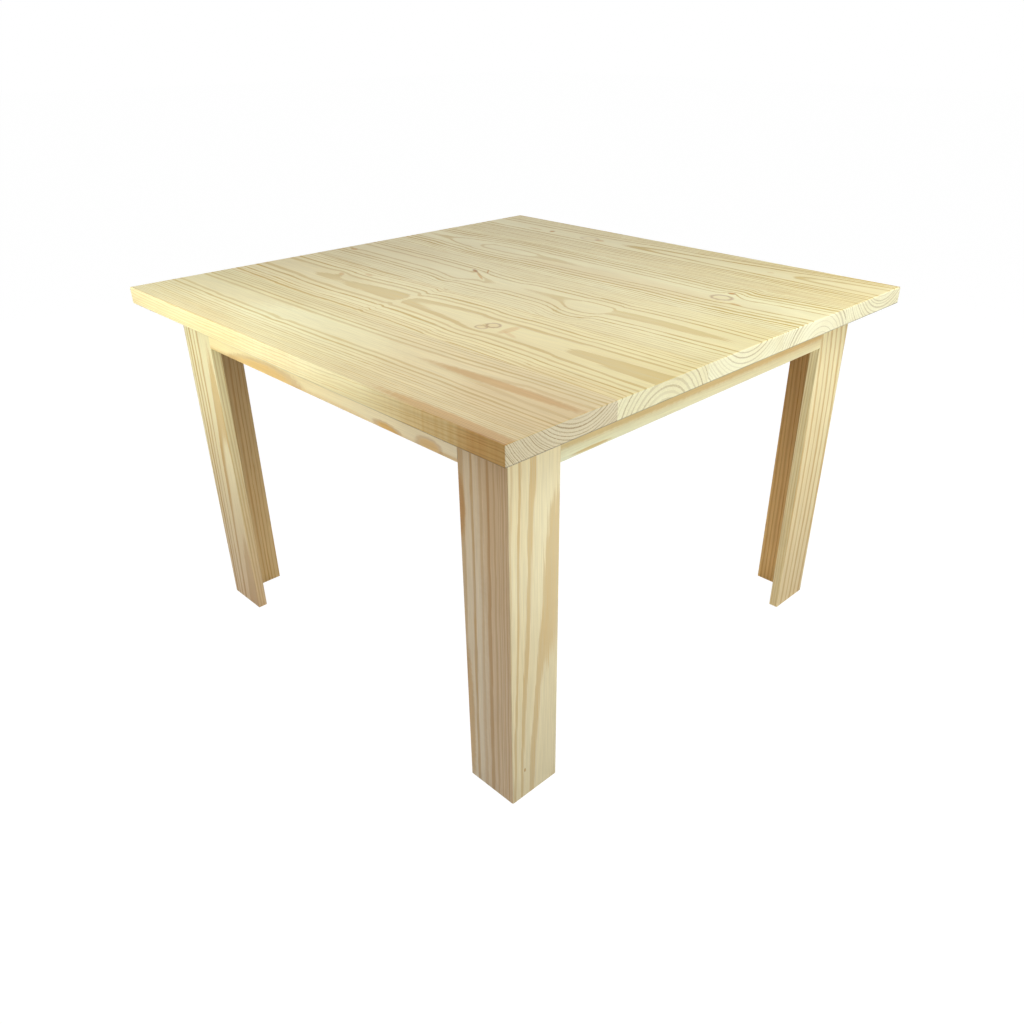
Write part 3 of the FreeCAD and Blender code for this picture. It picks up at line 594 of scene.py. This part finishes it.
def pine(name, figure, early, late, roughness):
    """Sawn pine with its own growth rings, knots and end grain.

    The saw cuts the log's cone of rings, so a face near the heart shows arches and
    flames, a face far from it shows straight lines, and the ends show arcs. The
    board's coordinates are worked out from Object coordinates, in millimetres.
    """
    board = {**PLAIN, **figure}
    colours = bpy.context.scene.dining_table.pine
    material = bpy.data.materials.new(name)
    put = empty_nodes(material)
    put("table", "TexCoord")
    put("mm", "VectorMath", {0: "table.3", "Scale": 1 / MM}, "SCALE")
    put("turned", "VectorRotate",
        {"Vector": "mm", "Angle": board["turn"]}, rotation_type="Z_AXIS")
    put("axes", "SeparateXYZ", {0: "turned"})
    for way in ("along", "across", "depth"):
        axis, sign, offset = board[way]
        put(way, "Math", {0: f"axes.{'XYZ'.index(axis)}", 1: sign, 2: offset}, "MULTIPLY_ADD")
    # Where the heart runs, and how many rings the face cuts, along the board
    for way in ("path", "rings"):
        points = board[way]
        low = min(y for _, y in points) - 1
        high = max(y for _, y in points) + 1
        put(f"{way} share", "MapRange", {0: "along", 1: points[0][0], 2: points[-1][0]})
        curve = put(f"{way} curve", "FloatCurve", {"Value": f"{way} share"})
        lay_curve(curve, points, low, high)
        put(way, "Math", {0: f"{way} curve", 1: high - low, 2: low}, "MULTIPLY_ADD")
    side, face_depth = board["pith"]
    put("heart depth", "Math", {0: "depth", 1: side, 2: face_depth}, "MULTIPLY_ADD")
    put("cut rings", "Math", {0: "depth", 1: board["edges"], 2: "rings"}, "MULTIPLY_ADD")
    cut = "cut rings"
    for index, knot in enumerate(board["knots"]):
        sockets = dict(enumerate((*knot[:5], knot[7]), start=2))
        put(f"knot {index}", "Group",
            {0: "along", 1: "across", **sockets}, node_tree=group("knot"))
        put(f"bent {index}", "Math", {0: cut, 1: f"knot {index}.0"}, "SUBTRACT")
        cut = f"bent {index}"
    put("log", "Group", dict(enumerate((
        "along", "across", "depth", "path", "heart depth", face_depth, *board["growth"], cut,
        board["seed"], *board["summer"]))), node_tree=group("growth_rings"))
    # Side grain, with softer lines on the edges
    put("surface", "NewGeometry")
    put("turned normal", "VectorRotate",
        {"Vector": "surface.1", "Angle": board["turn"]}, rotation_type="Z_AXIS")
    put("normal axes", "SeparateXYZ", {0: "turned normal"})
    put("face", "Math", {0: f"normal axes.{'XYZ'.index(board['depth'][0])}"}, "ABSOLUTE")
    put("contrast", "MapRange",
        {0: "face", 1: 0.3, 2: 0.7, 3: EDGE_CONTRAST * board["contrast"], 4: board["contrast"]})
    put("amount", "Math", {0: "log.0", 1: "contrast"}, "MULTIPLY")
    put("grain", "Mix", {0: "amount", 6: (*early, 1), 7: (*late, 1)}, data_type="RGBA")
    for index, knot in enumerate(board["knots"]):
        rim, heart = knot[5:7]
        if rim or heart:
            share = min(heart, 1)
            wood = [e + (k - e) * share for e, k in zip(early, colours.knot)]
            wood = [w + (k - w) * max(heart - 1, 0) for w, k in zip(wood, colours.knot_rim)]
            # A stain without a rim lets the rings show through
            if not rim:
                wood = [w / e for w, e in zip(wood, early)]
            put("grain", "Mix", {0: f"knot {index}.1", 6: "grain.2", 7: (*wood, 1)},
                data_type="RGBA", blend_type="MIX" if rim else "MULTIPLY")
            put(f"rim {index}", "Math", {0: f"knot {index}.2", 1: rim}, "MULTIPLY")
            put("grain", "Mix",
                {0: f"rim {index}", 6: "grain.2", 7: (*colours.knot_rim, 1)}, data_type="RGBA")
    # End grain drinks more varnish, so its summer wood turns grey brown
    put("facing", "Math", {0: f"normal axes.{'XYZ'.index(board['along'][0])}"}, "ABSOLUTE")
    put("end", "MapRange", {0: "facing", 1: 0.6, 2: 0.8})
    end_tint, end_contrast = board["end"]
    put("end lines", "Math", {0: "log.0", 1: 1.8}, "POWER")
    put("end amount", "Math", {0: "end lines", 1: end_contrast}, "MULTIPLY")
    put("end grain", "Mix", {0: "end amount", 6: (*colours.end_early, 1),
        7: (*colours.end_late, 1)}, data_type="RGBA")
    put("either", "Mix", {0: "end", 6: "grain.2", 7: "end grain.2"}, data_type="RGBA")
    # Painted shade along the lower arris of the top's edges: an upright face turns darker
    # from a depth near the underside on, from nothing at the board's first end to full at
    # its second. Past that depth it stays dark, so it also darkens whole upright faces of
    # the bare framing at the back.
    # The mask of the painted shade at the foot
    put("run", "MapRange", {0: "depth", 1: SHADE_FOOT_START, 2: SHADE_FOOT_FULL})
    put("level", "Math", {0: "normal axes.2"}, "ABSOLUTE")
    put("upright", "MapRange", {0: "level", 1: 0.9, 2: 1.0, 3: 1.0, 4: 0.0})
    put("whole foot", "Math", {0: "run", 1: "upright"}, "MULTIPLY")
    put("foot", "Math", {0: "whole foot", 1: "path share"}, "MULTIPLY")
    put("foot light", "Math", {0: "foot", 1: -SHADE_FOOT_DARKNESS, 2: 1.0}, "MULTIPLY_ADD")
    # Tone and fibre, and the slow change from one end of the board to the other, which is
    # partly painted light and shade, as is the end grain's tint
    put("tone share", "MapRange", {0: "log.2", 1: 0.2, 2: 0.8})
    put("tone", "Mix",
        {0: "tone share", 6: (0.95, 0.91, 0.84, 1), 7: (1.05, 1.07, 1.1, 1)}, data_type="RGBA")
    put("fibre light", "MapRange", {0: "log.1", 1: 0.3, 2: 0.7, 3: 0.88, 4: 1.07})
    put("light", "Math", {0: "fibre light", 1: "foot light"}, "MULTIPLY")
    put("shaded", "VectorMath", {0: "either.2", "Scale": "light"}, "SCALE")
    first, last = board["tint"]
    put("tint", "Mix", {0: "path share", 6: (*first, 1), 7: (*last, 1)}, data_type="RGBA")
    put("either tint", "Mix", {0: "end", 6: "tint.2", 7: (*end_tint, 1)}, data_type="RGBA")
    put("toned", "VectorMath", {0: "shaded", 1: "tone.2"}, "MULTIPLY")
    put("tinted", "VectorMath", {0: "toned", 1: "either tint.2"}, "MULTIPLY")
    # Planing leaves the fibres a hair proud under the thin film
    put("bump", "Bump", {"Height": "log.1", "Strength": 0.12, "Distance": 0.0002})
    put("shader", "BsdfPrincipled",
        {"Base Color": "tinted", "Roughness": roughness, "Normal": "bump", "IOR": 1.5})
    put("out", "OutputMaterial", {0: "shader"})
    return material


def dress(node, material):
    """Give a piece of the table its material."""
    mesh = NODES[node].data
    mesh.materials.clear()
    mesh.materials.append(material)


def varnish(kind):
    """Planed pine under clear matt varnish, on every board whose name starts with kind.

    The film warms the wood, deepens its lines and gives it a soft sheen.
    """
    colours = bpy.context.scene.dining_table.pine
    late = colours.top_latewood if kind == "top" else colours.latewood
    for node in [name for name in BOARDS if name.startswith(kind)]:
        dress(node, pine(f"varnished_pine.{node}", BOARDS[node], colours.earlywood, late,
                         VARNISHED_ROUGHNESS))


def zinc():
    """Bright zinc plating on cold-formed steel: pale grey, with a fine cloudy spangle."""
    name = "bright_zinc_plate"
    if name in bpy.data.materials:
        return bpy.data.materials[name]
    material = bpy.data.materials.new(name)
    put = empty_nodes(material)
    put("place", "TexCoord")
    # The spangle is 2 mm across
    put("cloud", "TexNoise", {"Vector": "place.3", "Scale": 500.0, "Detail": 2.0})
    put("tone", "Mix",
        {0: "cloud", 6: (*linear("#B4B7BA"), 1), 7: (*linear("#D2D3D0"), 1)}, data_type="RGBA")
    put("rough", "MapRange", {0: "cloud", 1: 0.3, 2: 0.7, 3: 0.28, 4: 0.42})
    put("shader", "BsdfPrincipled",
        {"Base Color": "tone.2", "Metallic": 1.0, "Roughness": "rough"})
    put("out", "OutputMaterial", {0: "shader"})
    return material


# New pieces

# A head's rounded rim, and the innermost ring of its grid, as shares of its radius.
# The cross is this much deeper in the middle, and gets shallower by this much from
# there to the rim.
CROWN_SHARE = 0.45
FIRST_RING_SHARE = 0.05
HEAD_RINGS = 15
HEAD_TURNS = 48
RECESS_DEEPENING = 1.1
RECESS_SLOPE = 1.6
# A way that no head faces, to turn its cross from
ODD_WAY = (0.3, 0.5, 0.81)
SHARP_ANGLE = math.radians(35)

# The screws' places: a brace's recesses lie in the middle of its cut end, their floor
# this far up from the apron and their middle this far in from its upper and lower
# edges. Those in a cleat lie at shares of its half length.
BRACE_THICKNESS = 0.022
RECESS_FLOOR = 0.010
RECESS_EDGE = 0.015
CLEAT_SIDE_SHARES = (-0.4, 0.4)
CLEAT_TOP_SHARES = (-0.8, 0, 0.8)


def cross_headed_screws(name, places):
    """Pan heads with a cross recess, one at each place, each with its way outward.

    On a grid of rings and turns the head's height is a flat crown that falls off as
    a quarter circle at its rim, and the last ring goes straight down to the seat.
    Inside either arm of the cross the height drops by a cone's depth, deepest in the
    middle. Every head is that grid turned to its own way outward and moved.
    """
    sizes = bpy.context.scene.dining_table.screws
    radius = sizes.head_diameter / 2
    crown = radius * CROWN_SHARE
    shares = np.append(np.linspace(FIRST_RING_SHARE, 1, HEAD_RINGS), 1)
    angles = np.linspace(0, 2 * math.pi, HEAD_TURNS, endpoint=False)
    share, angle = np.meshgrid(shares, angles, indexing="ij")
    x, y = share * radius * np.cos(angle), share * radius * np.sin(angle)
    from_rim = np.clip((1 - share) * radius / crown, 0, 1)
    height = sizes.head_height - crown * (1 - np.sqrt(1 - (1 - from_rim) ** 2))
    past_arm = np.minimum(abs(x), abs(y)) - sizes.recess_width / 2
    inside = np.clip(-past_arm / (sizes.recess_width / 4), 0, 1)
    cone = np.clip(RECESS_DEEPENING - RECESS_SLOPE * share, 0, 1)
    height = height - inside * sizes.recess_depth * cone
    height[-1] = 0
    head = np.stack([x, y, height], axis=-1).reshape(-1, 3)
    lowest = sizes.head_height - sizes.recess_depth * RECESS_DEEPENING
    head = np.vstack([head, [[0, 0, lowest]]])
    rings, around = share.shape
    ring, step = np.meshgrid(np.arange(rings - 1), np.arange(around), indexing="ij")
    beside = (step + 1) % around
    quads = np.stack([ring * around + step, (ring + 1) * around + step,
                      (ring + 1) * around + beside, ring * around + beside], -1)
    turn = np.arange(around)
    fan = np.stack([np.full(around, rings * around), turn, (turn + 1) % around], -1)
    seat = (rings - 1) * around + turn[::-1]

    origins, outward = (np.array([p[i] for p in places], float) for i in (0, 1))
    side = np.cross(outward, ODD_WAY)
    side /= np.linalg.norm(side, axis=1, keepdims=True)
    axes = np.stack([side, np.cross(outward, side), outward], axis=1)
    points = np.einsum("pi,sij->spj", head, axes) + origins[:, None]
    start = np.arange(len(places))[:, None, None] * len(head)
    faces = [(part.reshape(-1, part.shape[-1])[None] + start).reshape(-1, part.shape[-1])
             for part in (quads, fan, seat)]
    mesh = bpy.data.meshes.new(name)
    mesh.from_pydata(points.reshape(-1, 3).tolist(), [],
                     [face for part in faces for face in part.tolist()])
    mesh.shade_smooth()
    mesh.set_sharp_from_angle(angle=SHARP_ANGLE)
    piece = bpy.data.objects.new(name, mesh)
    bpy.context.scene.collection.objects.link(piece)
    mesh.materials.append(zinc())
    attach(piece, "root")


def round_the_table(along, across, height, way):
    """The same places on all four sides, with the way each head faces.

    Each side is the front one turned about the middle by a quarter of a circle.
    way is how far the head faces in towards the middle and how far up.
    """
    turns = ((1, 0), (0, 1), (-1, 0), (0, -1))
    return [((c * x + s * across, s * x - c * across, z), (-s * way[0], c * way[0], way[1]))
            for c, s in turns for x in along for z in height]


# The studio

# Each lamp's name, place, the point it faces, its side and its power in watts. All
# are soft boxes that the camera doesn't see.
LAMPS = (
    ("front_left_softbox", (-0.3, -1.2, 0.9), (-0.3, -0.5, 0.65), 0.5, 5.7),
    ("high_front_softbox", (-0.2, -0.95, 1.3), (-0.2, -0.5, 0.7), 0.5, 3.6),
    ("right_softbox", (1.5, 0.0, 0.8), (0.5, 0.0, 0.6), 0.5, 3.9),
    ("far_right_softbox", (1.2, 0.9, 1.1), (0.4, 0.4, 0.65), 0.5, 3.3),
    ("high_right_softbox", (1.0, 0.4, 1.6), (0.4, 0.2, 0.7), 0.6, 9.4),
    ("back_softbox", (-1.2, 1.2, 2.2), (0, 0, 0.7), 1.5, 13.4),
    ("camera_side_softbox", (1.6, -1.6, 2.2), (0, 0, 0.5), 1.2, 9.2),
    ("low_camera_side_softbox", (2.2, -0.9, 0.6), (0, 0, 0.3), 1.0, 11.0),
    ("left_softbox", (-3.0, 0.0, 1.2), (0, 0, 0.5), 1.6, 8.4),
    ("behind_softbox", (-1.9, 1.9, 0.7), (0, 0, 0.4), 1.2, 16.0),
)

# The camera sees the floor and the room white, and the varnish mirrors a share of that.
# The rest of the floor is matt, which keeps a trace of the table's shadow.
MIRRORED_SHARE = 0.4
FLOOR_WHITE_SHARE = 0.93
FLOOR_GLOW = 1.07
FLOOR_GREY = (0.8, 0.8, 0.8, 1)
WHITE = (1, 1, 1, 1)


def studio_floor(mesh):
    """Matt painted board, so pale that only a trace of a shadow shows on it."""
    material = bpy.data.materials.new("pale_studio_floor")
    put = empty_nodes(material)
    put("matt", "BsdfDiffuse", {"Color": FLOOR_GREY})
    put("white", "Emission", {"Color": WHITE, "Strength": FLOOR_GLOW})
    put("ray", "LightPath")
    put("seen", "Math", {0: "ray.3", 1: MIRRORED_SHARE, 2: "ray.0"}, "MULTIPLY_ADD")
    put("share", "Math", {0: "seen", 1: FLOOR_WHITE_SHARE}, "MULTIPLY")
    put("mixed", "MixShader", {0: "share", 1: "matt", 2: "white"})
    put("out", "OutputMaterial", {0: "mixed"})
    mesh.materials.append(material)


def studio_room(strength):
    """A world that is white to the camera, and lights the table by its strength."""
    world = bpy.data.worlds.new("studio_room")
    put = empty_nodes(world)
    put("room", "Background", {"Color": WHITE, "Strength": strength})
    put("white", "Background", {"Color": WHITE, "Strength": 1.0})
    put("ray", "LightPath")
    put("seen", "Math", {0: "ray.3", 1: MIRRORED_SHARE, 2: "ray.0"}, "MULTIPLY_ADD")
    put("mixed", "MixShader", {0: "seen", 1: "room", 2: "white"})
    put("out", "OutputWorld", {0: "mixed"})
    return world


def softbox(name, place, aim, size, power):
    """One square lamp, turned to face its aim."""
    light = bpy.data.lights.new(name, "AREA")
    light.shape = "SQUARE"
    light.size = size
    light.energy = power
    lamp = bpy.data.objects.new(name, light)
    bpy.context.scene.collection.objects.link(lamp)
    offset = [a - p for a, p in zip(aim, place)]
    heading = math.atan2(-offset[0], offset[1])
    level = math.hypot(offset[0], offset[1])
    lamp.location = place
    lamp.visible_camera = False
    # Only the back lamp gives the varnish its sheen; the others would glare
    lamp.visible_glossy = name == "back_softbox"
    lamp.rotation_euler = (math.atan2(level, -offset[2]), 0, heading)


# Operators, one for each group of like pieces and one for the stage

class DressTop(bpy.types.Operator):
    """Dress the five boards of the top in varnished pine"""
    bl_idname = "table.dress_top"
    bl_label = "Top"

    def execute(self, context):
        varnish("top")
        return {"FINISHED"}


class DressLegs(bpy.types.Operator):
    """Dress the eight leg boards in varnished pine"""
    bl_idname = "table.dress_legs"
    bl_label = "Legs"

    def execute(self, context):
        varnish("leg")
        return {"FINISHED"}


class DressAprons(bpy.types.Operator):
    """Dress the four aprons in varnished pine"""
    bl_idname = "table.dress_aprons"
    bl_label = "Aprons"

    def execute(self, context):
        varnish("apron")
        return {"FINISHED"}


class DressFraming(bpy.types.Operator):
    """Dress the cleats, corner blocks and braces in bare sawn pine"""
    bl_idname = "table.dress_framing"
    bl_label = "Cleats, blocks and braces"

    def execute(self, context):
        # Bare wood is duller and greyer than under varnish, and the saw leaves it rougher
        colours = context.scene.dining_table.pine
        eighth = math.pi / 4
        low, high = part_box("corner_block_front_left")
        middle = round((low.z + high.z) / 2 / MM)
        flat = {"pith": (1, 30), "path": ((-500, 3), (500, -3)),
                "rings": ((-500, 1.2), (0, 1.6), (500, 1.3)),
                "growth": (0.12, 0.001, 2), "seed": 20.0}
        kinds = {
            "lengthwise": {**flat, "along": ("X", 1, 0), "across": ("Y", 1, 0),
                           "depth": ("Z", -1, UNDERSIDE)},
            "crosswise": {**flat, "along": ("Y", 1, 0), "across": ("X", 1, 0),
                          "depth": ("Z", -1, UNDERSIDE), "seed": 21.0},
            "upright": {**flat, "along": ("Z", -1, middle), "across": ("X", 1, 0),
                        "depth": ("Y", 1, 0), "seed": 22.0},
            "rising": {**flat, "turn": -eighth, "along": ("X", 1, 0),
                       "across": ("Z", 1, -middle), "depth": ("Y", 1, 0), "seed": 23.0},
            "falling": {**flat, "turn": eighth, "along": ("X", 1, 0),
                        "across": ("Z", 1, -middle), "depth": ("Y", 1, 0), "seed": 24.0},
        }
        made = {kind: pine(f"bare_pine.{kind}", board, colours.bare_early,
                           colours.bare_late, BARE_ROUGHNESS)
                for kind, board in kinds.items()}
        for side, kind in (("front", "lengthwise"), ("back", "lengthwise"),
                           ("left", "crosswise"), ("right", "crosswise")):
            dress(f"top_cleat_{side}", made[kind])
        for corner, kind in (("front_left", "falling"), ("back_right", "falling"),
                             ("front_right", "rising"), ("back_left", "rising")):
            dress(f"corner_block_{corner}", made["upright"])
            dress(f"corner_brace_{corner}", made[kind])
        return {"FINISHED"}


class DressHardware(bpy.types.Operator):
    """Plate the bolts, washers and wing nuts with zinc"""
    bl_idname = "table.dress_hardware"
    bl_label = "Bolts, washers and nuts"

    def execute(self, context):
        material = zinc()
        for node in ("hanger_bolts", "washers", "wing_nuts"):
            dress(node, material)
        return {"FINISHED"}


class AddScrews(bpy.types.Operator):
    """Add the heads of the screws in the braces and the cleats"""
    bl_idname = "table.add_screws"
    bl_label = "Screw heads"

    def execute(self, context):
        inward, down = (1, 0), (0, -1)
        low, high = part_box("corner_brace_front_right")
        cut_end = low.x + BRACE_THICKNESS / math.sqrt(2)
        cross_headed_screws("brace_screws", round_the_table(
            (-cut_end, cut_end), -low.y - RECESS_FLOOR,
            (low.z + RECESS_EDGE, high.z - RECESS_EDGE), inward))
        low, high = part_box("top_cleat_front")
        middle = (low + high) / 2
        cross_headed_screws("cleat_side_screws", round_the_table(
            [share * high.x for share in CLEAT_SIDE_SHARES], -high.y, (middle.z,), inward))
        cross_headed_screws("cleat_top_screws", round_the_table(
            [share * high.x for share in CLEAT_TOP_SHARES], -middle.y, (low.z,), down))
        return {"FINISHED"}


class SetStudio(bpy.types.Operator):
    """Set the floor, the lamps, the room and the camera"""
    bl_idname = "table.set_studio"
    bl_label = "Studio"

    def execute(self, context):
        studio = context.scene.dining_table.studio
        scene = context.scene
        half = studio.floor_size / 2
        mesh = bpy.data.meshes.new("studio_floor")
        mesh.from_pydata([(-half, -half, 0), (half, -half, 0), (half, half, 0),
                          (-half, half, 0)], [], [(0, 1, 2, 3)])
        floor = bpy.data.objects.new("studio_floor", mesh)
        scene.collection.objects.link(floor)
        studio_floor(mesh)
        scene.world = studio_room(studio.world)
        for lamp in LAMPS:
            softbox(*lamp)

        camera = bpy.data.cameras.new("camera")
        camera.sensor_width = SENSOR
        camera.lens = studio.focal_pixels / PICTURE * SENSOR
        camera.shift_x = 0.5 - studio.centre_x / PICTURE
        camera.shift_y = studio.centre_y / PICTURE - 0.5
        viewer = bpy.data.objects.new("camera", camera)
        viewer.location = studio.camera
        viewer.rotation_euler = (math.pi / 2 - studio.pitch, 0, studio.heading)
        scene.collection.objects.link(viewer)
        scene.camera = viewer
        scene.view_settings.view_transform = "Standard"
        return {"FINISHED"}


OPERATORS = (DressTop, DressLegs, DressAprons, DressFraming, DressHardware, AddScrews,
             SetStudio)


class TableSettings(bpy.types.PropertyGroup):
    """All the settings of the table and its studio"""
    pine: PointerProperty(type=PineColours)
    screws: PointerProperty(type=ScrewSizes)
    studio: PointerProperty(type=StudioSettings)


class TablePanel(bpy.types.Panel):
    """The table's settings and its steps"""
    bl_idname = "VIEW3D_PT_pine_dining_table"
    bl_label = "Pine Dining Table"
    bl_space_type = "VIEW_3D"
    bl_region_type = "UI"
    bl_category = "Table"

    def draw(self, context):
        settings = context.scene.dining_table
        for name, kind in SETTINGS.items():
            box = self.layout.box()
            for field in kind.__annotations__:
                box.prop(getattr(settings, name), field)
        for operator in OPERATORS:
            self.layout.operator(operator.bl_idname)


CLASSES = (*SETTINGS.values(), TableSettings, *OPERATORS, TablePanel)


def register():
    for item in CLASSES:
        bpy.utils.register_class(item)
    bpy.types.Scene.dining_table = PointerProperty(type=TableSettings)


def unregister():
    del bpy.types.Scene.dining_table
    for item in reversed(CLASSES):
        bpy.utils.unregister_class(item)


def main():
    """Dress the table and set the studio."""
    register()
    bpy.ops.table.dress_top()
    bpy.ops.table.dress_legs()
    bpy.ops.table.dress_aprons()
    bpy.ops.table.dress_framing()
    bpy.ops.table.dress_hardware()
    bpy.ops.table.add_screws()
    bpy.ops.table.set_studio()


if __name__ == "__main__":
    main()
